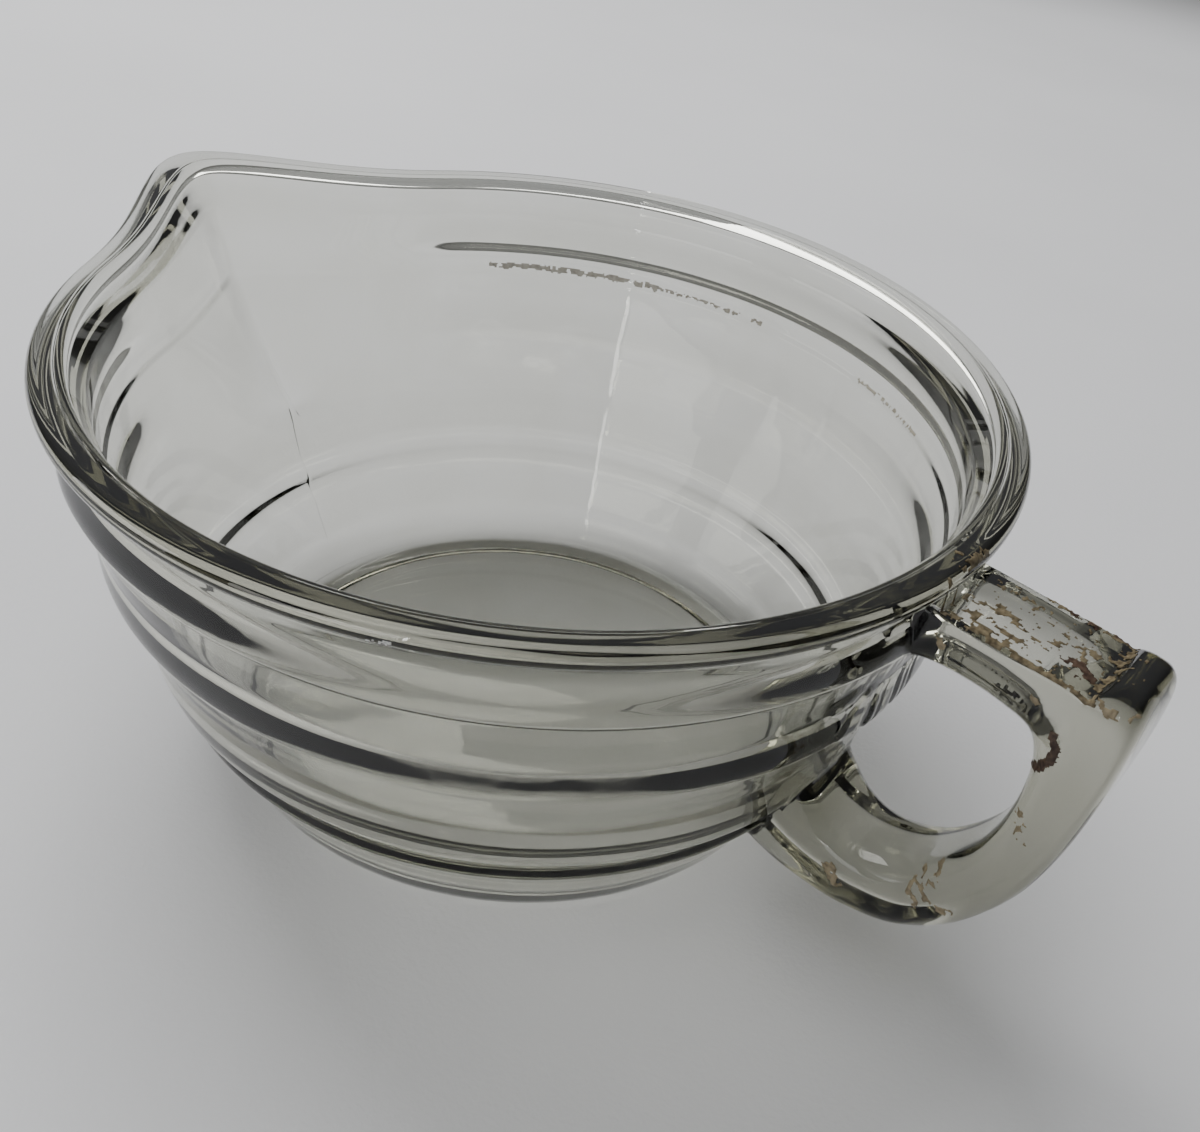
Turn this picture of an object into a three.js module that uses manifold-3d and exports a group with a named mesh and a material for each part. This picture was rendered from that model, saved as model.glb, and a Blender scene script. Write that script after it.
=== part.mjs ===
// Pressed-glass batter bowl: a ringed bowl with a rolled rim, a V-shaped pouring
// spout and a D-shaped strap handle with a thumb stop.
// Millimetres, +Z up. The origin is the centre of the foot's underside, the handle
// points along +X and the spout along -X.
import * as THREE from 'three';
import { mergeVertices } from 'three/addons/utils/BufferGeometryUtils.js';
import Module from 'manifold-3d';

// ---- driving dimensions ----
const HEIGHT = 92; // foot to the top of the rim
const FOOT_RADIUS = 62.6;
const SHOULDER_RADIUS = 91; // outer wall just under the rim bead
const SHOULDER_HEIGHT = 89;
const WALL_POWER = 1.68; // how quickly the wall bows out above the foot
const WALL_THICKNESS = 5.4;
const FLOOR_THICKNESS = 5.6;
const FLOOR_CORNER = 8; // inner fillet between floor and wall
const RIM_RADIUS = 95; // outside of the rolled bead
const BEAD_WIDTH = 6.9;
const COVE_DROP = 8.4; // rim top to the foot of the cove under the bead
const EDGE_DROP = 3.6; // rim top to the bead's lower outer edge
const CHAMFER_DROP = 7.6; // rim top to the foot of the chamfer inside the bead
const LEDGE = [69.4, 71.0]; // stacking ledge on the inside, lower and upper edge
const LEDGE_STEP = 0.5; // the wall is this much thinner just above it

// Tiers up the outside: lower edge, upper edge, how proud the lower edge stands.
const TIERS = [
  { low: 18.6, high: 25.6, proud: 1.5 },
  { low: 26, high: 43, proud: 1.6 },
  { low: 50.4, high: 63, proud: 1.6 },
  { low: 72.2, high: 83.4, proud: 2.2 },
];
const TIER_ROUND = 3; // height over which a tier's lower edge comes out
const TIER_FADE = [22, 36]; // degrees from the spout over which the upper tiers come in

const SPOUT_REACH = 22; // how far the tip stands out past the rim circle
const SPOUT_START = 41.5; // height where the spout's keel leaves the wall
const SPOUT_HALF_ANGLE = 32; // degrees of rim on each side of the tip
const SPOUT_TIP_BLUNTNESS = 0.12;
const SPOUT_FLANK_POWER = 2.3;
const SPOUT_BELLY = 0.7; // under 1 the keel bows outwards on its way up
const SPOUT_LIFT = 2; // the rim rises slightly at the tip

const HANDLE_WIDTH = 20.4;
const HANDLE_TOP = 85.7; // flat top plate, where it leaves the rim
const PLATE_FALL = 1.5; // how far the plate falls on its way out to the thumb stop
const HANDLE_REACH = 130.3; // bowl axis to the handle's outside
const THUMB_STOP_TOP = 86.5;
const THUMB_STOP_ROUND = 5.5;
const HANDLE_EDGE = 5; // rounding of the handle's long edges
const GAP = 0.3; // clearance between the two solids

const AROUND = 96; // facets round the bowl

const wasm = await Module();
wasm.setup();

// ---- solids from closed geometry ----
function toSolid(geometry) {
  const plain = geometry.clone();
  plain.deleteAttribute('normal');
  plain.deleteAttribute('uv');
  const merged = mergeVertices(plain, 1e-4);
  const index = merged.index.array;
  const triangles = [];
  for (let i = 0; i < index.length; i += 3) {
    const [a, b, c] = [index[i], index[i + 1], index[i + 2]];
    if (a !== b && b !== c && c !== a) triangles.push(a, b, c);
  }
  const vertProperties = new Float32Array(merged.attributes.position.array);
  const triVerts = new Uint32Array(triangles);
  return new wasm.Manifold(new wasm.Mesh({ numProp: 3, vertProperties, triVerts }));
}

function toGeometry(solid) {
  const { vertProperties, triVerts } = solid.getMesh();
  const geometry = new THREE.BufferGeometry();
  geometry.setAttribute('position', new THREE.BufferAttribute(vertProperties, 3));
  geometry.setIndex(new THREE.BufferAttribute(triVerts, 1));
  geometry.computeVertexNormals();
  return geometry;
}

// ---- bowl ----
function wallRadius(z) {
  const below = 1 - Math.min(z, SHOULDER_HEIGHT) / SHOULDER_HEIGHT;
  return SHOULDER_RADIUS - (SHOULDER_RADIUS - FOOT_RADIUS) * below ** WALL_POWER;
}

function outsideProfile() {
  const points = [
    [0, 0],
    [FOOT_RADIUS - 2.2, 0],
    [FOOT_RADIUS + 0.2, 1.6],
    [wallRadius(9), 9],
  ];
  for (const { low, high, proud } of TIERS) {
    points.push([wallRadius(low), low]);
    points.push([wallRadius(low + TIER_ROUND / 2) + proud * 0.5, low + TIER_ROUND / 2]);
    points.push([wallRadius(low + TIER_ROUND) + proud, low + TIER_ROUND]);
    const middle = (low + TIER_ROUND + high) / 2;
    points.push([wallRadius(middle) + proud * 0.5, middle]);
    points.push([wallRadius(high), high]);
  }
  return points;
}

function rimProfile() {
  const inside = RIM_RADIUS - BEAD_WIDTH;
  return [
    [wallRadius(HEIGHT - COVE_DROP) + 0.2, HEIGHT - COVE_DROP],
    [RIM_RADIUS - 2.6, HEIGHT - EDGE_DROP - 1.8],
    [RIM_RADIUS - 0.2, HEIGHT - EDGE_DROP],
    [RIM_RADIUS, HEIGHT - 2.6],
    [RIM_RADIUS - 0.9, HEIGHT - 1.0],
    [RIM_RADIUS - 2.6, HEIGHT],
    [inside + 1.3, HEIGHT - 0.1],
    [inside, HEIGHT - 1.8],
    [wallRadius(HEIGHT - CHAMFER_DROP) - WALL_THICKNESS, HEIGHT - CHAMFER_DROP],
  ];
}

function insideProfile() {
  const points = [];
  const cornerTop = FLOOR_THICKNESS + FLOOR_CORNER;
  points.push([wallRadius(LEDGE[1]) - WALL_THICKNESS + LEDGE_STEP, LEDGE[1]]);
  for (const z of [LEDGE[0], 62, 50, 38, 26, cornerTop]) {
    points.push([wallRadius(z) - WALL_THICKNESS, z]);
  }
  const flatEdge = wallRadius(cornerTop) - WALL_THICKNESS - FLOOR_CORNER;
  for (const turn of [30, 60, 90]) {
    const angle = THREE.MathUtils.degToRad(turn);
    points.push([flatEdge + FLOOR_CORNER * Math.cos(angle), cornerTop - FLOOR_CORNER * Math.sin(angle)]);
  }
  points.push([0, FLOOR_THICKNESS]);
  return points;
}

// How far the wall is carried out at a turn (radians from the spout) and a height.
function spoutReach(turn, z) {
  const climbed = (z - SPOUT_START) / (SHOULDER_HEIGHT - SPOUT_START);
  const grown = THREE.MathUtils.clamp(climbed, 0, 1) ** SPOUT_BELLY;
  const halfAngle = THREE.MathUtils.degToRad(SPOUT_HALF_ANGLE) * Math.sqrt(grown);
  if (Math.abs(turn) >= halfAngle) return 0;
  const blunt = SPOUT_TIP_BLUNTNESS;
  const along = Math.min(Math.hypot(turn / halfAngle, blunt), 1);
  const fullness = ((1 - along) / (1 - blunt)) ** SPOUT_FLANK_POWER;
  return SPOUT_REACH * grown * fullness;
}

// A point of the spouted wall line, in plan, at an azimuth and a height.
function wallLine(azimuth, z) {
  const turn = Math.atan2(Math.sin(azimuth - Math.PI), Math.cos(azimuth - Math.PI));
  const radius = wallRadius(z) + spoutReach(turn, z);
  return new THREE.Vector2(radius * Math.cos(azimuth), radius * Math.sin(azimuth));
}

// How much of a tier's relief is left near the spout, where the upper tiers die out.
function tierShare(turn, z) {
  if (z < SPOUT_START + 6) return 1;
  return THREE.MathUtils.smoothstep(THREE.MathUtils.radToDeg(Math.abs(turn)), ...TIER_FADE);
}

// Carry each point out with the wall line, keeping its distance from the wall.
function addSpout(geometry) {
  const position = geometry.attributes.position;
  const step = 0.004;
  for (let i = 0; i < position.count; i += 1) {
    const x = position.getX(i);
    const y = position.getY(i);
    const z = position.getZ(i);
    const radius = Math.hypot(x, y);
    if (radius < 1 || z <= SPOUT_START || x > 0) continue;
    const azimuth = Math.atan2(y, x);
    const line = wallLine(azimuth, z);
    const along = wallLine(azimuth + step, z).sub(wallLine(azimuth - step, z)).normalize();
    const turn = Math.PI - Math.abs(azimuth);
    const relief = radius - wallRadius(z);
    const onTier = relief > 0 && z < HEIGHT - COVE_DROP;
    const offset = onTier ? relief * tierShare(turn, z) : relief;
    const lift = z > HEIGHT - COVE_DROP ? SPOUT_LIFT * (spoutReach(turn, z) / SPOUT_REACH) : 0;
    position.setXYZ(i, line.x + along.y * offset, line.y - along.x * offset, z + lift);
  }
}

function revolve(points) {
  const profile = points.map(([radius, z]) => new THREE.Vector2(radius, z));
  const geometry = new THREE.LatheGeometry(profile, AROUND);
  geometry.rotateX(Math.PI / 2);
  return geometry;
}

function makeBowl() {
  const geometry = revolve([...outsideProfile(), ...rimProfile(), ...insideProfile()]);
  addSpout(geometry);
  return toSolid(geometry);
}

// The bowl's outside grown by the gap and filled in, to cut the handle's roots.
function makeBowlClearance() {
  const grown = [...outsideProfile(), ...rimProfile().slice(0, 6)].map(([radius, z]) => [
    radius > 0 ? radius + GAP * 1.15 : 0,
    z === 0 ? -1 : z,
  ]);
  return toSolid(revolve([...grown, [0, HEIGHT]]));
}

// ---- handle ----
// The handle is drawn from the side (X outwards, Z up) and extruded across Y.
function handleOutline() {
  const out = HANDLE_REACH;
  const round = THUMB_STOP_ROUND;
  const stopFrom = THREE.MathUtils.degToRad(140);
  const outline = new THREE.Shape();
  outline.moveTo(55, HANDLE_TOP);
  outline.lineTo(RIM_RADIUS, HANDLE_TOP);
  outline.lineTo(out - 10.4, HANDLE_TOP - PLATE_FALL);
  outline.absarc(out - round, THUMB_STOP_TOP - round, round, stopFrom, 0, true);
  outline.bezierCurveTo(out, HANDLE_TOP - 36, out - 9, 9.5, 92, 9.5);
  outline.quadraticCurveTo(80, 9.5, 66, 18);
  outline.lineTo(55, 28);
  return outline;
}

function fingerHole() {
  const hole = new THREE.Path();
  hole.moveTo(74, 33);
  hole.quadraticCurveTo(83, 25, 94, 25);
  hole.bezierCurveTo(107, 26, 116, 42, 116.2, 57);
  hole.bezierCurveTo(116, 68, 111, 73.5, 102, 73.5);
  hole.lineTo(93, 73.5);
  hole.quadraticCurveTo(86, 73, 83.5, 67);
  hole.closePath();
  return hole;
}

function makeHandle() {
  const outline = handleOutline();
  outline.holes.push(fingerHole());
  const geometry = new THREE.ExtrudeGeometry(outline, {
    depth: HANDLE_WIDTH - 2 * HANDLE_EDGE,
    curveSegments: 6,
    bevelThickness: HANDLE_EDGE,
    bevelSize: HANDLE_EDGE,
    bevelOffset: -HANDLE_EDGE,
    bevelSegments: 3,
  });
  geometry.translate(0, 0, HANDLE_EDGE - HANDLE_WIDTH / 2);
  geometry.rotateX(Math.PI / 2);
  return toSolid(geometry).subtract(makeBowlClearance());
}

// ---- assembly ----
function glass() {
  return new THREE.MeshStandardMaterial({
    color: 0xd9dcd4,
    roughness: 0.05,
    metalness: 0,
    transparent: true,
    opacity: 0.45,
  });
}

function addPart(group, name, solid) {
  const mesh = new THREE.Mesh(toGeometry(solid), glass());
  mesh.name = name;
  group.add(mesh);
}

const batterBowl = new THREE.Group();
addPart(batterBowl, 'bowl', makeBowl());
addPart(batterBowl, 'handle', makeHandle());

export default batterBowl;
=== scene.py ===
"""A clear pressed-glass batter bowl with dried batter on its handle, on pale paper.

Shapes are worked out in millimetres in the CAD frame (handle along +X, spout along
-X, foot on Z = 0) and written to the meshes in metres.
"""
import math

import bmesh
import bpy
import numpy as np
from mathutils import Matrix, Vector, noise
from mathutils.bvhtree import BVHTree


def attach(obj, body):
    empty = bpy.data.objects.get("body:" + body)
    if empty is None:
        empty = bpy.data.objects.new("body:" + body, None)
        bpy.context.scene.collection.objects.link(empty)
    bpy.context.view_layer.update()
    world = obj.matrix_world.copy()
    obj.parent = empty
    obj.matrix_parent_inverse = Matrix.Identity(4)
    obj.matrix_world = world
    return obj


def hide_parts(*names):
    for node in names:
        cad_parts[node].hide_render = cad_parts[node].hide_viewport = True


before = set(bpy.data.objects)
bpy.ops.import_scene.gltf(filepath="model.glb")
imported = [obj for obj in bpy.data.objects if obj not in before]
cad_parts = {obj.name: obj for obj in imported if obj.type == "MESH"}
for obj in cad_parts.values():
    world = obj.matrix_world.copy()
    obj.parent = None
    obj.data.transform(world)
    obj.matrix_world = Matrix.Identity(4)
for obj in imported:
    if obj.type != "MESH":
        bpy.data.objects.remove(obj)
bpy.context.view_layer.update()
MM = 0.001

# ---- driving dimensions: the CAD part's, with a finer bead, spout and surface ----
HEIGHT = 92.0
FOOT_RADIUS = 62.6
SHOULDER_RADIUS = 91.0
SHOULDER_HEIGHT = 89.0
WALL_POWER = 1.68
WALL_THICKNESS = 5.4
FLOOR_THICKNESS = 5.6
FLOOR_CORNER = 8.0
RIM_RADIUS = 95.0
BEAD_WIDTH = 6.9
BEAD_DROP = 0.2         # rim height to the bead's wide top
OUTER_ROUND = 2.2       # rounding of the bead's outer edge
INNER_ROUND = 2.0       # rounding of the bead's inner edge
COVE_DROP = 8.4         # rim top to the foot of the cove under the bead
EDGE_DROP = 3.3         # rim top to the bead's lower outer edge
CHAMFER_DROP = 7.6      # rim top to the foot of the chamfer inside the bead
HANDLE_WIDTH = 20.4

# tiers up the outside: lower edge, upper edge, how proud the lower edge stands
TIERS = ((18.6, 25.6, 1.5), (26.0, 43.0, 1.6), (50.4, 63.0, 1.6), (72.2, 83.4, 2.2))
TIER_ROUND = 3.0        # height over which a tier's lower edge comes out
TIER_FADE = (22.0, 36.0)   # degrees from the spout over which the upper tiers come in

SPOUT_REACH = 22.0
SPOUT_START = 41.5
SPOUT_HALF_ANGLE = math.radians(32)
SPOUT_BLUNT = 0.12      # the tip's bluntness at the rim; below it the keel is creased
SPOUT_CREASE = 0.035
SPOUT_INSIDE_BLUNT = 0.05   # the channel inside is rounder than the keel outside
SPOUT_FLANK_POWER = 2.3
SPOUT_BELLY = 0.7
SPOUT_LIFT = 2.0

LEDGE = (69.4, 71.0)    # stacking ledge on the inside, lower and upper edge
LEDGE_STEP = 0.5        # the wall is this much thinner just above it
BASE_HOLLOW = 0.7       # the underside is slightly dished inside the foot
FOOT_ROUND = 2.4        # rounding of the foot's outer edge
SEAM_PROUD = 0.16       # mould seam down the spout
SEAM_HALF_WIDTH = 0.35
WAVE = 0.10             # slow unevenness of the pressed surface
WAVE_LENGTH = 17.0
HANDLE_WAVE = 0.12      # the same on the handle's sides
HANDLE_WAVE_LENGTH = 13.0
ROOT_FILLET = 1.6       # reach of the fillet where the handle runs into the wall
ROOT_HEIGHTS = (24.0, 79.0)     # middle of the lower and of the upper root


# ---- small helpers ----
def smooth(low, high, value):
    t = min(max((value - low) / (high - low), 0.0), 1.0)
    return t * t * (3 - 2 * t)


def mesh_object(name, bm):
    mesh = bpy.data.meshes.new(name)
    bm.to_mesh(mesh)
    bm.free()
    obj = bpy.data.objects.new(name, mesh)
    bpy.context.scene.collection.objects.link(obj)
    return obj


def shade_smooth(obj):
    obj.data.polygons.foreach_set("use_smooth", [True] * len(obj.data.polygons))


def surface_tree(obj):
    """A tree that finds the nearest or the hit place on an object's surface."""
    bm = bmesh.new()
    bm.from_mesh(obj.data)
    tree = BVHTree.FromBMesh(bm)
    bm.free()
    return tree


def on_circle(azimuth, radius, z):
    return Vector((radius * math.cos(azimuth), radius * math.sin(azimuth), z))


def between(start, end, t):
    return start[0] + (end[0] - start[0]) * t, start[1] + (end[1] - start[1]) * t


def join_rings(bm, rings):
    """Quads between each ring of vertices and the next."""
    n = len(rings[0])
    for first, second in zip(rings, rings[1:]):
        for j in range(n):
            k = (j + 1) % n
            bm.faces.new((first[j], first[k], second[k], second[j]))


# ---- bowl ----
def wall_radius(z):
    below = 1 - min(z, SHOULDER_HEIGHT) / SHOULDER_HEIGHT
    return SHOULDER_RADIUS - (SHOULDER_RADIUS - FOOT_RADIUS) * below ** WALL_POWER


def tier_bulge(z):
    """How far a tier stands proud: most just above its rounded lower edge, nothing at its top."""
    for low, high, proud in TIERS:
        if low <= z <= high:
            return proud * smooth(low, low + TIER_ROUND, z) * (1 - smooth(low + TIER_ROUND, high, z))
    return 0.0


def outside_heights():
    """Heights up the outside, closer together at the tiers' lower edges."""
    heights = set(np.arange(8.0, HEIGHT - COVE_DROP - 0.4, 0.9).round(3))
    for low, _, _ in TIERS:
        heights.update(np.round(low + TIER_ROUND * np.linspace(0, 1, 10), 3))
        heights.add(round(low - 0.12, 3))
    kept = []
    for z in sorted(heights):
        if not kept or z - kept[-1] > 0.03:
            kept.append(float(z))
    return kept


def arc(centre, radii, start, end, steps):
    """Points of an ellipse arc in the profile plane, angles in degrees."""
    return [
        (centre[0] + radii[0] * math.cos(math.radians(a)),
         centre[1] + radii[1] * math.sin(math.radians(a)))
        for a in np.linspace(start, end, steps)
    ]


def rim_profile():
    """A cove under the bead, the bead's round outer edge, its wide top and the chamfer inside."""
    shoulder = HEIGHT - COVE_DROP
    start, edge = wall_radius(shoulder) + 0.2, RIM_RADIUS - 0.1
    rise = HEIGHT - EDGE_DROP - shoulder
    points = [(start + (edge - start) * (1 - math.cos(t)), shoulder + rise * math.sin(t))
              for t in np.linspace(0.0, math.pi / 2 * 0.86, 9)]
    top = HEIGHT - BEAD_DROP
    points += arc((RIM_RADIUS - OUTER_ROUND, top - 2.4), (OUTER_ROUND, 2.4), -22, 88, 13)
    inner = RIM_RADIUS - BEAD_WIDTH + INNER_ROUND
    points += [(r, top) for r in np.linspace(RIM_RADIUS - 2.8, inner, 4)]
    points += arc((inner, top - INNER_ROUND), (INNER_ROUND, INNER_ROUND), 86, 200, 11)
    foot = HEIGHT - CHAMFER_DROP
    start, end = points[-1], (wall_radius(foot) - WALL_THICKNESS, foot)
    points += [between(start, end, t) for t in np.linspace(0.1, 1, 9)]
    return points


def foot_profile():
    """The dished underside, the ring that the bowl stands on and its round outer edge."""
    points = [(r, BASE_HOLLOW) for r in np.linspace(4, FOOT_RADIUS - 9, 14)]
    points += [(FOOT_RADIUS - 7.5, BASE_HOLLOW * 0.7), (FOOT_RADIUS - 6.5, 0.1)]
    points += [(FOOT_RADIUS - 6, 0.0), (FOOT_RADIUS - 4, 0.0)]
    points += arc((FOOT_RADIUS - FOOT_ROUND, FOOT_ROUND), (FOOT_ROUND, FOOT_ROUND), -88, -8, 8)
    points += [(wall_radius(z) + 0.2 * (8 - z) / 8, z) for z in (3.5, 5.0, 6.5)]
    return points


def inner_ledge(z):
    """How far the inside steps out above the stacking ledge, where batter dries on."""
    return LEDGE_STEP * smooth(*LEDGE, z) * (1 - smooth(LEDGE[1] + 1, HEIGHT - CHAMFER_DROP, z))


def inside_profile():
    """From the foot of the chamfer down the wall and round the corner to the middle of the floor."""
    corner = FLOOR_THICKNESS + FLOOR_CORNER
    heights = set(np.arange(HEIGHT - CHAMFER_DROP - 1.2, corner, -1.2)) | set(np.linspace(*LEDGE, 10))
    points = [(wall_radius(z) - WALL_THICKNESS + inner_ledge(z), z)
              for z in sorted(heights, reverse=True)]
    flat_edge = wall_radius(corner) - WALL_THICKNESS - FLOOR_CORNER
    points += arc((flat_edge, corner), (FLOOR_CORNER, FLOOR_CORNER), 0, -90, 15)
    points += [(r, FLOOR_THICKNESS) for r in np.linspace(flat_edge - 2, 4, 16)]
    return points


def bowl_profile():
    """(radius, height) from the middle of the underside, over the rim, to the middle of the floor."""
    tiers = [(wall_radius(z) + tier_bulge(z), z) for z in outside_heights()]
    return foot_profile() + tiers + rim_profile() + inside_profile()


# stretches of azimuth in degrees, each with its step: all round, the spout, its keel, the handle
TURN_STEPS = ((0.0, 360.0, 1.2), (144.0, 216.01, 0.6), (176.0, 184.01, 0.2), (-10.0, 10.01, 0.4))
SEAM_TURNS = (-0.36, -0.24, -0.12, 0.12, 0.24, 0.36)


def azimuths():
    """Angles round the bowl, closer at the spout, its mould seam and the handle."""
    angles = {180 + turn for turn in SEAM_TURNS}
    for start, end, step in TURN_STEPS:
        angles.update((np.arange(start, end, step) % 360).round(3))
    return [math.radians(a) for a in sorted(angles)]


def spout_turn(azimuth):
    """The angle from the spout's middle line, from -pi to pi."""
    return math.remainder(azimuth - math.pi, math.tau)


def spout_reach(turn, z, outside=True):
    """How far the spout carries the wall out; the channel inside is a little rounder."""
    grown = min(max((z - SPOUT_START) / (SHOULDER_HEIGHT - SPOUT_START), 0.0), 1.0) ** SPOUT_BELLY
    half = SPOUT_HALF_ANGLE * math.sqrt(grown)
    if abs(turn) >= half:
        return 0.0
    blunt = SPOUT_CREASE + (SPOUT_BLUNT - SPOUT_CREASE) * smooth(HEIGHT - 16, HEIGHT - 4, z)
    along = min(math.hypot(turn / half, blunt + SPOUT_INSIDE_BLUNT * (not outside)), 1.0)
    return SPOUT_REACH * grown * ((1 - along) / (1 - blunt)) ** SPOUT_FLANK_POWER


def wall_line(azimuth, z, outside=True):
    """The plain wall's outline with the spout, at one height."""
    return on_circle(azimuth, wall_radius(z) + spout_reach(spout_turn(azimuth), z, outside), z)


def seam(turn, radius):
    return SEAM_PROUD * math.exp(-((abs(turn) * radius) / SEAM_HALF_WIDTH) ** 2)


def pressed_wave(azimuth, point, z, outside):
    """Slow unevenness of the surface, fading out at the foot and left out at the bead."""
    if z > HEIGHT - COVE_DROP:
        return Vector((0, 0, 0))
    fade = smooth(2, 10, z) if outside else 1.0
    wave = noise.noise(point / WAVE_LENGTH + Vector((0, 0, 40.0 if outside else 0.0)))
    return Vector((math.cos(azimuth), math.sin(azimuth), 0.35)) * (WAVE * wave * fade)


NEAR_AXIS = 30.0        # inside this radius the floor is plain and round
STEP_ASIDE = 0.004      # radians, to find the direction of the wall's outline


def bowl_point(azimuth, radius, z, outside):
    """A point of the profile at an azimuth, carried out with the spout."""
    if radius <= NEAR_AXIS:
        point = on_circle(azimuth, radius, z)
        return point + pressed_wave(azimuth, point, z, outside)
    turn = spout_turn(azimuth)
    offset = radius - wall_radius(z)
    if outside and 9 < z < HEIGHT - COVE_DROP:
        if z > SPOUT_START + 6:
            offset -= tier_bulge(z) * (1 - smooth(*TIER_FADE, math.degrees(abs(turn))))
        offset += seam(turn, radius)
    line = wall_line(azimuth, z, outside)
    along = wall_line(azimuth + STEP_ASIDE, z, outside) - wall_line(azimuth - STEP_ASIDE, z, outside)
    along.normalize()
    lift = SPOUT_LIFT * spout_reach(turn, z) / SPOUT_REACH * smooth(HEIGHT - 14, HEIGHT - 4, z)
    point = line + Vector((along.y * offset, -along.x * offset, lift))
    return point + pressed_wave(azimuth, point, z, outside)


def make_bowl():
    bm = bmesh.new()
    profile = bowl_profile()
    top = max(range(len(profile)), key=lambda i: profile[i][1])
    turns = azimuths()
    rows = [
        [bm.verts.new(bowl_point(a, r, z, i < top) * MM) for a in turns]
        for i, (r, z) in enumerate(profile)
    ]
    join_rings(bm, rows)
    for row, z in ((rows[0][::-1], BASE_HOLLOW), (rows[-1], FLOOR_THICKNESS)):
        middle = bm.verts.new((0, 0, z * MM))
        for vertex, after in zip(row, row[1:] + row[:1]):
            bm.faces.new((middle, vertex, after))
    bmesh.ops.recalc_face_normals(bm, faces=bm.faces)
    return mesh_object("glass_body", bm)


# ---- handle: sections swept from the upper root round to the lower root ----
# outer x, z; inner x, z; rounding of the outer edges; rounding of the inner edges
HANDLE_SECTIONS = (
    (85.5, 86.0, 85.4, 70.4, 1.6, 4.0),
    (91.0, 85.8, 89.4, 71.6, 1.6, 4.6),
    (96.0, 85.6, 92.6, 73.2, 1.6, 5.2),
    (102.0, 85.3, 97.4, 73.7, 1.6, 5.6),
    (110.0, 84.8, 104.0, 73.4, 1.6, 5.8),
    (118.0, 84.4, 109.6, 72.4, 1.6, 6.0),
    (121.4, 84.0, 111.4, 71.6, 2.2, 6.6),
    (122.4, 84.6, 112.2, 71.0, 3.6, 7.0),
    (124.0, 86.1, 113.0, 70.2, 5.2, 7.6),
    (126.4, 86.5, 114.0, 68.8, 5.8, 8.0),
    (128.9, 85.6, 115.0, 66.6, 5.4, 8.0),
    (130.2, 82.6, 115.8, 63.8, 4.4, 7.6),
    (130.1, 76.0, 116.2, 60.0, 2.8, 6.6),
    (129.2, 66.0, 116.1, 55.5, 2.8, 5.6),
    (127.2, 53.0, 115.0, 49.0, 3.2, 5.0),
    (124.0, 40.5, 112.6, 42.0, 4.0, 5.0),
    (119.2, 29.6, 108.8, 35.8, 5.0, 5.0),
    (112.6, 19.9, 103.8, 30.2, 6.0, 5.0),
    (103.6, 12.8, 97.8, 26.6, 6.4, 4.8),
    (93.0, 9.9, 91.6, 25.4, 6.2, 4.6),
    (84.0, 9.8, 86.0, 27.2, 5.8, 4.2),
    (76.6, 11.0, 81.6, 31.2, 5.2, 3.8),
    (70.8, 13.0, 78.2, 35.8, 4.6, 3.6),
    (64.6, 15.8, 74.6, 40.6, 4.2, 3.4),
)
SECTION_STEPS = 9       # sections between two given ones
CORNER_STEPS = 7
FLAT_STEPS = 6


def catmull(p, q, r, s, t):
    """A smooth curve from q to r, with p before and s after."""
    square, cube = 2 * p - 5 * q + 4 * r - s, 3 * q - p - 3 * r + s
    return 0.5 * (2 * q + (r - p) * t + square * t ** 2 + cube * t ** 3)


def swept_sections():
    """The given sections with smooth ones between them."""
    keys = np.array(HANDLE_SECTIONS)
    padded = np.vstack((2 * keys[0] - keys[1], keys, 2 * keys[-1] - keys[-2]))
    rows = []
    for i in range(1, len(padded) - 2):
        for t in np.arange(0, 1, 1 / SECTION_STEPS):
            rows.append(catmull(*padded[i - 1:i + 3], t))
    rows.append(keys[-1])
    return rows


def rounded_section(half_length, half_width, outer_round, inner_round):
    """(along, across) points round a section; along is +half_length on the outer side."""
    corners = (
        (half_length, half_width, outer_round, 90, 0),
        (half_length, -half_width, outer_round, 0, -90),
        (-half_length, -half_width, inner_round, -90, -180),
        (-half_length, half_width, inner_round, 180, 90),
    )
    points = []
    for along, across, radius, start, end in corners:
        radius = min(radius, half_length * 0.96, half_width * 0.96)
        centre = (along - math.copysign(radius, along), across - math.copysign(radius, across))
        points += arc(centre, (radius, radius), start, end, CORNER_STEPS)
    closed = []
    for i, point in enumerate(points):
        closed.append(point)
        if (i + 1) % CORNER_STEPS == 0:
            after = points[(i + 1) % len(points)]
            for t in np.linspace(0, 1, FLAT_STEPS + 1)[1:-1]:
                closed.append(between(point, after, t))
    return closed


def fillet_swell(gap):
    """How far the handle and the wall swell towards each other over a gap."""
    return ROOT_FILLET / 4 * max(0.0, 1 - max(gap, 0.0) / ROOT_FILLET) ** 2


def root_fillet(point):
    """Carries a point of the handle outwards from its middle line as it comes near the wall."""
    gap = math.hypot(point.x, point.y) - wall_radius(point.z)
    root = ROOT_HEIGHTS[point.z > sum(ROOT_HEIGHTS) / 2]
    outward = point - Vector((point.x, 0, root))
    return point + outward.normalized() * fillet_swell(gap)


def handle_ring(outer, inner, outer_round, inner_round):
    """One section of the handle, its two sides slightly uneven."""
    middle = (outer + inner) / 2
    along = (outer - inner).normalized()
    half = (outer - inner).length / 2
    side = HANDLE_WIDTH / 2
    ring = []
    for a, c in rounded_section(half, side, outer_round, inner_round):
        point = middle + along * a + Vector((0, c, 0))
        wave = noise.noise(point / HANDLE_WAVE_LENGTH) * HANDLE_WAVE
        bulge = 1 - (a / max(half, 1)) ** 2
        point.y += math.copysign(1, c) * wave * bulge * (abs(c) > side - 0.2)
        ring.append(root_fillet(point) * MM)
    return ring


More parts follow.
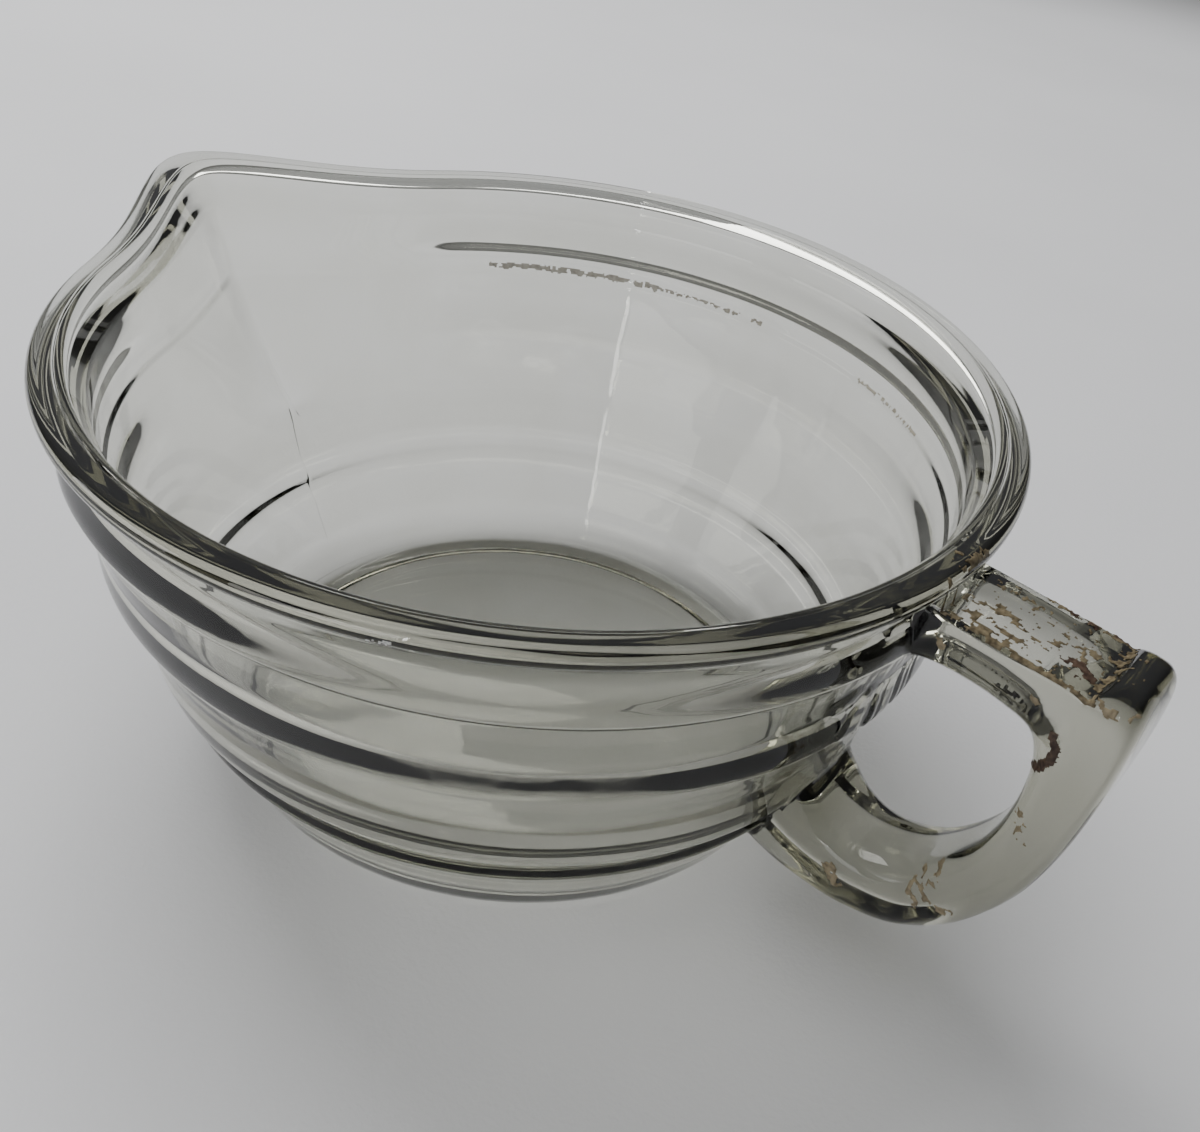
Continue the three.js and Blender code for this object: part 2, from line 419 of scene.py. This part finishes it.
def make_handle():
    bm = bmesh.new()
    rings = []
    for ox, oz, ix, iz, outer_round, inner_round in swept_sections():
        ring = handle_ring(Vector((ox, 0, oz)), Vector((ix, 0, iz)), outer_round, inner_round)
        rings.append([bm.verts.new(point) for point in ring])
    join_rings(bm, rings)
    bm.faces.new(rings[0])
    bm.faces.new(rings[-1][::-1])
    bmesh.ops.recalc_face_normals(bm, faces=bm.faces)
    return mesh_object("handle_body", bm)


def make_core():
    """The inside of the bowl out to the middle of the wall, to trim the handle's roots."""
    bm = bmesh.new()
    turns = [math.radians(a) for a in np.arange(0, 360, 3.0)]
    rings = []
    for z in np.arange(-4.0, HEIGHT + 9, 3.0):
        radius = wall_radius(max(z, 0)) - WALL_THICKNESS / 2
        rings.append([bm.verts.new(on_circle(a, radius, z) * MM) for a in turns])
    join_rings(bm, rings)
    bm.faces.new(rings[0][::-1])
    bm.faces.new(rings[-1])
    bmesh.ops.recalc_face_normals(bm, faces=bm.faces)
    return mesh_object("core", bm)


def boolean(obj, other, operation):
    """Joins or cuts a mesh with another one, which is used up."""
    modifier = obj.modifiers.new("join", "BOOLEAN")
    modifier.operation = operation
    modifier.solver = "EXACT"
    modifier.object = other
    depsgraph = bpy.context.evaluated_depsgraph_get()
    mesh = bpy.data.meshes.new_from_object(obj.evaluated_get(depsgraph))
    obj.modifiers.clear()
    old = obj.data
    obj.data = mesh
    bpy.data.meshes.remove(old)
    bpy.data.objects.remove(other)


def swell_wall(bowl, handle):
    """The bowl's side of the fillet: the wall swells where the handle is close to it."""
    tree = surface_tree(handle)
    for vertex in bowl.data.vertices:
        point = vertex.co
        if point.x < 55 * MM or abs(point.y) > 20 * MM or point.z > 88 * MM:
            continue
        if math.hypot(point.x, point.y) < (wall_radius(point.z / MM) - 1.0) * MM:
            continue
        place, normal, _, distance = tree.find_nearest(point)
        gap = distance / MM if (point - place).dot(normal) > 0 else 0.0
        outward = Vector((point.x, point.y, 0)).normalized()
        vertex.co = point + outward * fillet_swell(gap) * MM


# ---- dried batter ----
CRUST_STEP = 0.28       # grid of the crusts
CRUST_GAP = 0.015       # between the glass and a crust's underside
CRUST_FLECKS = (1.3, 0.9)    # fine noise in a crust's outline: scale, strength
CRUST_PATCHES = (0.45, 0.8)  # coarse noise: scale, strength
CRUST_LIMIT = 0.5       # cover and noise together have to pass this

# middle lines, half width, cover (1 solid, 0.3 flecks); on the plate (x, y), on the side and
# the hole's corner (x, z), on the ledge and the rim (degrees round the bowl, z)
PLATE_CRUST = (
    (((94.6, -8.8), (104.0, -9.3), (113.0, -9.8), (122.0, -9.9)), 1.1, 0.95),
    (((95.5, -6.0), (101.0, -5.2), (108.0, -6.2)), 1.4, 0.72),
    (((95.5, -2.4), (101.0, -1.2), (106.0, -2.6)), 1.7, 0.68),
    (((94.0, -4.0), (94.6, 5.0)), 1.2, 0.65),
    (((99.0, -7.6), (112.0, -8.2)), 1.2, 0.62),
    (((106.0, 9.2), (114.0, 8.7), (121.8, 8.8)), 1.1, 0.9),
    (((121.4, -8.6), (122.2, 0.0), (121.8, 8.4)), 1.2, 0.8),
    (((112.0, -1.5), (117.0, 1.2), (121.0, 3.0)), 1.6, 0.55),
    (((98.0, 0.0), (118.0, 0.0)), 9.0, 0.30),
)
DARK_CRUST = (
    (((114.6, -3.9), (117.6, -3.4), (119.6, -4.9)), 1.5, 1.0),
    (((110.0, 9.0), (115.0, 8.4)), 1.0, 0.85),
    (((118.4, 8.9), (121.0, 8.6)), 1.0, 0.85),
    (((117.8, -6.5), (119.0, -8.0)), 0.9, 0.7),
)
SIDE_CRUST = (
    (((121.8, 84.6), (125.0, 83.4), (128.0, 83.4), (129.6, 84.4)), 1.0, 0.9),
    (((90.6, 32.2), (93.8, 31.4)), 2.0, 0.95),
    (((95.0, 31.0), (99.5, 29.4)), 1.0, 0.75),
    (((89.0, 20.6), (91.4, 18.2)), 1.9, 1.0),
    (((109.5, 38.5), (108.0, 34.5), (109.2, 32.0), (107.2, 28.7)), 1.3, 0.8),
    (((107.2, 28.7), (109.8, 26.2), (113.8, 27.4)), 1.2, 0.7),
    (((106.0, 31.0), (105.0, 27.0), (107.6, 24.4)), 1.2, 0.75),
    (((118.0, 55.6), (120.8, 52.4)), 2.0, 0.5),
    (((95.6, 81.4), (96.8, 79.8)), 1.0, 0.95),
    (((113.2, 79.6), (114.6, 79.0)), 0.8, 0.9),
)
CORNER_CRUST = (
    (((118.6, 74.8), (119.9, 72.4), (119.6, 69.4), (118.0, 66.8), (116.4, 65.2)), 1.2, 1.1),
)
LEDGE_CRUST = (
    (((141.0, 71.2), (120.0, 71.1), (112.0, 70.9)), 1.1, 0.95),
    (((112.0, 70.9), (92.0, 70.8)), 0.8, 0.7),
    (((70.0, 70.6), (52.0, 70.5)), 0.7, 0.6),
)
RIM_CHIPS = (
    (((-63.6, 88.6), (-62.4, 88.9), (-61.6, 88.2)), 1.1, 0.8),
    (((-95.2, 88.8), (-94.4, 88.6)), 0.6, 0.9),
    (((-126.6, 88.6), (-126.0, 88.8)), 0.6, 0.9),
)
LEDGE_RADIUS = 83.5     # turns the angle along the ledge and the rim into a length


# where a ray starts and which way it goes, for a place on a crust's grid
def from_above(u, v):
    return Vector((u, v, 110)), Vector((0, 0, -1))


def from_near_side(u, v):
    return Vector((u, -40, v)), Vector((0, 1, 0))


def from_axis(u, v):
    turn = u / LEDGE_RADIUS
    return Vector((0, 0, v)), Vector((math.cos(turn), math.sin(turn), 0))


def from_outside(u, v):
    """From beyond the rim, inwards."""
    origin, outward = from_axis(u, v)
    return origin + outward * 130, -outward


def as_lengths(strokes):
    """Strokes given as (degrees, height) with their angles turned into lengths."""
    return [([(math.radians(a) * LEDGE_RADIUS, z) for a, z in line], width, cover)
            for line, width, cover in strokes]


def stroke_cover(place, strokes):
    """How covered a place is: a stroke's cover along its middle, less towards its edges."""
    best = -1.0
    for line, half_width, cover in strokes:
        for start, end in zip(line, line[1:]):
            start, span = Vector(start), Vector(end) - Vector(start)
            t = min(max((place - start).dot(span) / span.length_squared, 0.0), 1.0)
            margin = 1 - (place - start - span * t).length / half_width
            best = max(best, min(margin * 2, 1.0) * cover)
    return best


def crust_amount(place, strokes):
    """How much batter lies at a place; none where it is below zero."""
    amount = stroke_cover(place, strokes) - CRUST_LIMIT
    if amount <= -CRUST_LIMIT:
        return -1.0
    for layer, (scale, strength) in ((3.0, CRUST_FLECKS), (9.0, CRUST_PATCHES)):
        amount += strength * noise.noise(Vector((place.x, place.y, layer)) * scale)
    return amount


def crust_points(glass, strokes, aim):
    """Grid points on the glass where the crust is, each with its normal and amount."""
    ends = [point for line, _, _ in strokes for point in line]
    reach = max(width for _, width, _ in strokes)
    low = [min(p[i] for p in ends) - reach for i in (0, 1)]
    high = [max(p[i] for p in ends) + reach for i in (0, 1)]
    columns, rows = (int((high[i] - low[i]) / CRUST_STEP) for i in (0, 1))
    found = {}
    for i in range(columns):
        for j in range(rows):
            place = Vector((low[0] + i * CRUST_STEP, low[1] + j * CRUST_STEP))
            amount = crust_amount(place, strokes)
            if amount <= 0:
                continue
            origin, direction = aim(place.x, place.y)
            spot, normal, _, _ = glass.ray_cast(origin * MM, direction)
            if spot is not None:
                found[i, j] = (spot, normal if normal.dot(direction) < 0 else -normal, amount)
    return found


def cell_corners(i, j):
    return (i, j), (i + 1, j), (i + 1, j + 1), (i, j + 1)


def crust_cells(found):
    """Grid cells with all four corners covered, without those that touch another by a corner only."""
    def covered(cell):
        corners = [found.get(key) for key in cell_corners(*cell)]
        return None not in corners and (corners[0][0] - corners[2][0]).length < 3 * CRUST_STEP * MM
    cells = {key for key in found if covered(key)}
    changed = True
    while changed:
        changed = False
        for i, j in list(cells):
            for side in (1, -1):
                if (i + 1, j + side) in cells and not {(i + 1, j), (i, j + side)} & cells:
                    cells.discard((i, j))
                    changed = True
    return cells


def make_crust(name, glass, strokes, aim, material, height=0.12):
    """A thin closed crust laid on the glass along the strokes."""
    found = crust_points(glass, strokes, aim)
    cells = crust_cells(found)
    bm = bmesh.new()
    layers = {}
    for key in {corner for cell in cells for corner in cell_corners(*cell)}:
        spot, normal, amount = found[key]
        lump = 0.7 + 0.8 * noise.noise(spot / MM * 1.6)
        top = CRUST_GAP + 0.03 + height * smooth(0, 0.9, amount) * max(lump, 0.2)
        layers[key] = [bm.verts.new(spot + normal * level * MM) for level in (CRUST_GAP, top)]
    for i, j in cells:
        corners = [layers[key] for key in cell_corners(i, j)]
        bm.faces.new([corner[1] for corner in corners])
        bm.faces.new([corner[0] for corner in reversed(corners)])
        for k, beside in enumerate(((i, j - 1), (i + 1, j), (i, j + 1), (i - 1, j))):
            if beside not in cells:
                first, second = corners[k], corners[(k + 1) % 4]
                bm.faces.new((first[0], second[0], second[1], first[1]))
    bmesh.ops.recalc_face_normals(bm, faces=bm.faces)
    crust = mesh_object(name, bm)
    shade_smooth(crust)
    crust.data.materials.append(material)
    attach(crust, "root")
    return crust


def make_residue(body):
    glass = surface_tree(body)
    brown = residue_material("batter_brown", (0.20, 0.16, 0.09), (0.06, 0.045, 0.024))
    tan = residue_material("batter_tan", (0.29, 0.24, 0.15), (0.14, 0.11, 0.065))
    dark = residue_material("batter_burnt", (0.085, 0.05, 0.03), (0.028, 0.014, 0.009))
    pale = residue_material("batter_pale", (0.50, 0.46, 0.36), (0.33, 0.29, 0.21), 0.6)
    for crust in (
        make_crust("batter_plate", glass, PLATE_CRUST, from_above, brown),
        make_crust("batter_speckles", glass, DARK_CRUST, from_above, dark, 0.2),
        make_crust("batter_side", glass, SIDE_CRUST, from_near_side, tan),
        make_crust("batter_corner", glass, CORNER_CRUST, from_near_side, dark, 0.15),
        make_crust("batter_ledge", glass, as_lengths(LEDGE_CRUST), from_axis, pale, 0.1),
    ):
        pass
    chips = make_crust("rim_chips", glass, as_lengths(RIM_CHIPS), from_outside, chip_material(), 0.05)


# ---- materials ----
GLASS_TINT = (0.53, 0.522, 0.415, 1)    # grey-olive, which shows where the glass is thick
GLASS_DENSITY = 66.0    # absorption per metre
GLASS_IOR = 1.5
RESIDUE_GRAIN = 900.0   # noise scales are per metre
CHIP_GRAIN = 1500.0
PAPER_NEAR = ((0.3, (0.74, 0.74, 0.75)), (0.7, (0.78, 0.78, 0.79)))
# painted shade: the dark grey the paper's colour fades to far from the bowl
PAPER_FAR_PAINTED_SHADE = (0.20, 0.20, 0.195, 1)
PAPER_PAINTED_SHADE_FALL = (0.85, 1.2)    # metres from the bowl over which painted shade darkens the paper


def new_material(name):
    material = bpy.data.materials.new(name)
    material.use_nodes = True
    tree = material.node_tree
    shader = tree.nodes["Principled BSDF"]
    return material, tree, shader


def noise_node(tree, scale, detail=3.0, distortion=0.0):
    place = tree.nodes.new("ShaderNodeTexCoord")
    node = tree.nodes.new("ShaderNodeTexNoise")
    node.inputs["Scale"].default_value = scale
    node.inputs["Detail"].default_value = detail
    node.inputs["Distortion"].default_value = distortion
    tree.links.new(place.outputs["Object"], node.inputs["Vector"])
    return node.outputs["Fac"]


def map_range(tree, value, low, high, to_low, to_high):
    node = tree.nodes.new("ShaderNodeMapRange")
    node.interpolation_type = "SMOOTHSTEP"
    limits = {"From Min": low, "From Max": high, "To Min": to_low, "To Max": to_high}
    for socket, number in limits.items():
        node.inputs[socket].default_value = number
    tree.links.new(value, node.inputs["Value"])
    return node.outputs["Result"]


def bump(tree, shader, height, distance, strength=1.0):
    node = tree.nodes.new("ShaderNodeBump")
    node.inputs["Distance"].default_value = distance
    node.inputs["Strength"].default_value = strength
    tree.links.new(height, node.inputs["Height"])
    tree.links.new(node.outputs["Normal"], shader.inputs["Normal"])


def ramp(tree, value, stops):
    node = tree.nodes.new("ShaderNodeValToRGB")
    elements = node.color_ramp.elements
    while len(elements) < len(stops):
        elements.new(0.5)
    for element, (position, colour) in zip(elements, stops):
        element.position = position
        element.color = (*colour, 1)
    tree.links.new(value, node.inputs["Fac"])
    return node.outputs["Color"]


def glass_material():
    """Pressed glass: faintly hazy, slightly wavy, tinted by how much glass light goes through."""
    material, tree, shader = new_material("clear_glass_finish")
    shader.inputs["Transmission Weight"].default_value = 1.0
    shader.inputs["IOR"].default_value = GLASS_IOR
    haze = noise_node(tree, 55.0, 5.0, 0.6)
    tree.links.new(ramp(tree, haze, ((0.35, (0.965, 0.972, 0.955)), (0.7, (0.93, 0.935, 0.905)))),
                   shader.inputs["Base Color"])
    tree.links.new(map_range(tree, haze, 0.45, 0.75, 0.0, 0.07), shader.inputs["Roughness"])
    bump(tree, shader, noise_node(tree, 90.0, 2.0), 0.00006, 0.5)
    volume = tree.nodes.new("ShaderNodeVolumeAbsorption")
    volume.inputs["Color"].default_value = GLASS_TINT
    volume.inputs["Density"].default_value = GLASS_DENSITY
    tree.links.new(volume.outputs["Volume"], tree.nodes["Material Output"].inputs["Volume"])
    return material


def residue_material(name, light, dark, alpha=1.0):
    """Dried batter: blotches of two colours, shinier where it is light, with a grainy surface."""
    material, tree, shader = new_material(name)
    shader.inputs["Alpha"].default_value = alpha
    blotch = noise_node(tree, RESIDUE_GRAIN, 6.0, 0.4)
    tree.links.new(ramp(tree, blotch, ((0.35, dark), (0.62, light))), shader.inputs["Base Color"])
    tree.links.new(map_range(tree, blotch, 0.3, 0.7, 0.75, 0.45), shader.inputs["Roughness"])
    bump(tree, shader, noise_node(tree, RESIDUE_GRAIN * 2.5, 5.0), 0.0002, 0.8)
    return material


def chip_material():
    """Chipped glass: rough, white where it scatters."""
    material, tree, shader = new_material("chipped_glass")
    grain = noise_node(tree, CHIP_GRAIN, 4.0)
    tree.links.new(ramp(tree, grain, ((0.35, (0.55, 0.56, 0.54)), (0.6, (0.9, 0.9, 0.88)))),
                   shader.inputs["Base Color"])
    tree.links.new(map_range(tree, grain, 0.3, 0.7, 0.55, 0.2), shader.inputs["Roughness"])
    shader.inputs["Transmission Weight"].default_value = 0.25
    bump(tree, shader, grain, 0.0002, 0.8)
    return material


def paper_material():
    """Pale paper with painted shade: its colour goes dark grey far from the bowl, standing in for the
    dim room beyond the sheet.
    """
    material, tree, shader = new_material("paper")
    fibre = noise_node(tree, 6.0, 4.0)
    place = tree.nodes.new("ShaderNodeTexCoord")
    away = tree.nodes.new("ShaderNodeVectorMath")
    away.operation = "LENGTH"
    tree.links.new(place.outputs["Object"], away.inputs[0])
    blend = tree.nodes.new("ShaderNodeMix")
    blend.data_type = "RGBA"
    # painted shade: the paper's colour blends to dark grey with distance from the bowl
    tree.links.new(map_range(tree, away.outputs["Value"], *PAPER_PAINTED_SHADE_FALL, 0.0, 1.0), blend.inputs["Factor"])
    tree.links.new(ramp(tree, fibre, PAPER_NEAR), blend.inputs["A"])
    blend.inputs["B"].default_value = PAPER_FAR_PAINTED_SHADE
    tree.links.new(blend.outputs["Result"], shader.inputs["Base Color"])
    shader.inputs["Roughness"].default_value = 0.9
    shader.inputs["Specular IOR Level"].default_value = 0.1
    bump(tree, shader, noise_node(tree, 900.0, 3.0), 0.0003, 0.3)
    return material


# ---- stage, in metres ----
FLOOR_HALF = 2.4
FLOOR_DROP = 0.0004     # keeps the floor's face off the foot's
WORLD_LEAN = (-0.30, 0.08, 0.95)    # towards the light side of the room
WORLD_TONES = ((0.0, (0.15, 0.15, 0.14)), (1.0, (0.66, 0.67, 0.69)))
WORLD_STRENGTH = 0.72

# name, place, the height it is aimed at, size, power, whether it is mirrored in the glass
LIGHTS = (
    ("key", (-0.72, 0.28, 1.20), 0.03, (0.95, 0.95), 19.0, False),
    ("pane_near", (-0.02, -1.35, 0.30), 0.05, (0.85, 0.5), 3.2, True),
    ("pane_side", (-1.0, -0.95, 0.30), 0.05, (0.7, 0.5), 2.8, True),
    ("pane_edge", (0.42, -1.33, 0.30), 0.05, (0.025, 0.5), 0.7, True),
)

VIEW_AZIMUTH = math.radians(33.0)
VIEW_ELEVATION = math.radians(35.56)
VIEW_ROLL = math.radians(9.32)
VIEW_TARGET = Vector((26.8, 7.1, 46.0)) * MM
VIEW_DISTANCE = 287.2 * MM
VIEW_LENS = 40.97       # mm, for a sensor 36 mm wide
VIEW_SHIFT = (-0.0412, 0.0114)


def make_floor():
    bm = bmesh.new()
    corners = ((-1, -1), (1, -1), (1, 1), (-1, 1))
    bm.faces.new([bm.verts.new((x * FLOOR_HALF, y * FLOOR_HALF, -FLOOR_DROP)) for x, y in corners])
    floor = mesh_object("floor", bm)
    floor.data.materials.append(paper_material())


def area_light(name, place, aim_height, size, power, mirrored):
    """An area light; one that isn't mirrored leaves no white patch in the glass."""
    data = bpy.data.lights.new(name, "AREA")
    data.shape = "RECTANGLE"
    data.size, data.size_y = size
    data.energy = power
    light = bpy.data.objects.new(name, data)
    light.location = place
    light.visible_glossy = mirrored
    towards = Vector((0, 0, aim_height)) - Vector(place)
    light.rotation_euler = towards.to_track_quat("-Z", "Y").to_euler()
    bpy.context.scene.collection.objects.link(light)


def make_world():
    """A soft room: dark towards the horizon, light overhead and to one side."""
    world = bpy.data.worlds.new("studio")
    world.use_nodes = True
    tree = world.node_tree
    background = tree.nodes["Background"]
    place = tree.nodes.new("ShaderNodeTexCoord")
    lean = tree.nodes.new("ShaderNodeVectorMath")
    lean.operation = "DOT_PRODUCT"
    lean.inputs[1].default_value = WORLD_LEAN
    tree.links.new(place.outputs["Generated"], lean.inputs[0])
    height = map_range(tree, lean.outputs["Value"], 0.05, 0.95, 0.0, 1.0)
    tree.links.new(ramp(tree, height, WORLD_TONES), background.inputs["Color"])
    background.inputs["Strength"].default_value = WORLD_STRENGTH
    bpy.context.scene.world = world


def make_camera():
    data = bpy.data.cameras.new("camera")
    data.sensor_width = 36.0
    data.lens = VIEW_LENS
    data.shift_x, data.shift_y = VIEW_SHIFT
    data.clip_start = 0.01
    camera = bpy.data.objects.new("camera", data)
    away = on_circle(VIEW_AZIMUTH - math.pi / 2, math.cos(VIEW_ELEVATION), math.sin(VIEW_ELEVATION))
    facing = (-away).to_track_quat("-Z", "Y").to_matrix().to_4x4()
    camera.matrix_world = (Matrix.Translation(VIEW_TARGET + away * VIEW_DISTANCE) @ facing
                           @ Matrix.Rotation(VIEW_ROLL, 4, "Z"))
    bpy.context.scene.collection.objects.link(camera)
    bpy.context.scene.camera = camera


# ---- build ----
def make_glass():
    """Bowl and handle as one piece of glass, as they are pressed."""
    body = make_bowl()
    handle = make_handle()
    swell_wall(body, handle)
    boolean(handle, make_core(), "DIFFERENCE")
    boolean(body, handle, "UNION")
    shade_smooth(body)
    body.data.materials.clear()
    body.data.materials.append(glass_material())
    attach(body, "root")
    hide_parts("bowl", "handle")
    return body


make_residue(make_glass())
make_floor()
make_world()
for lamp in LIGHTS:
    area_light(*lamp)
make_camera()
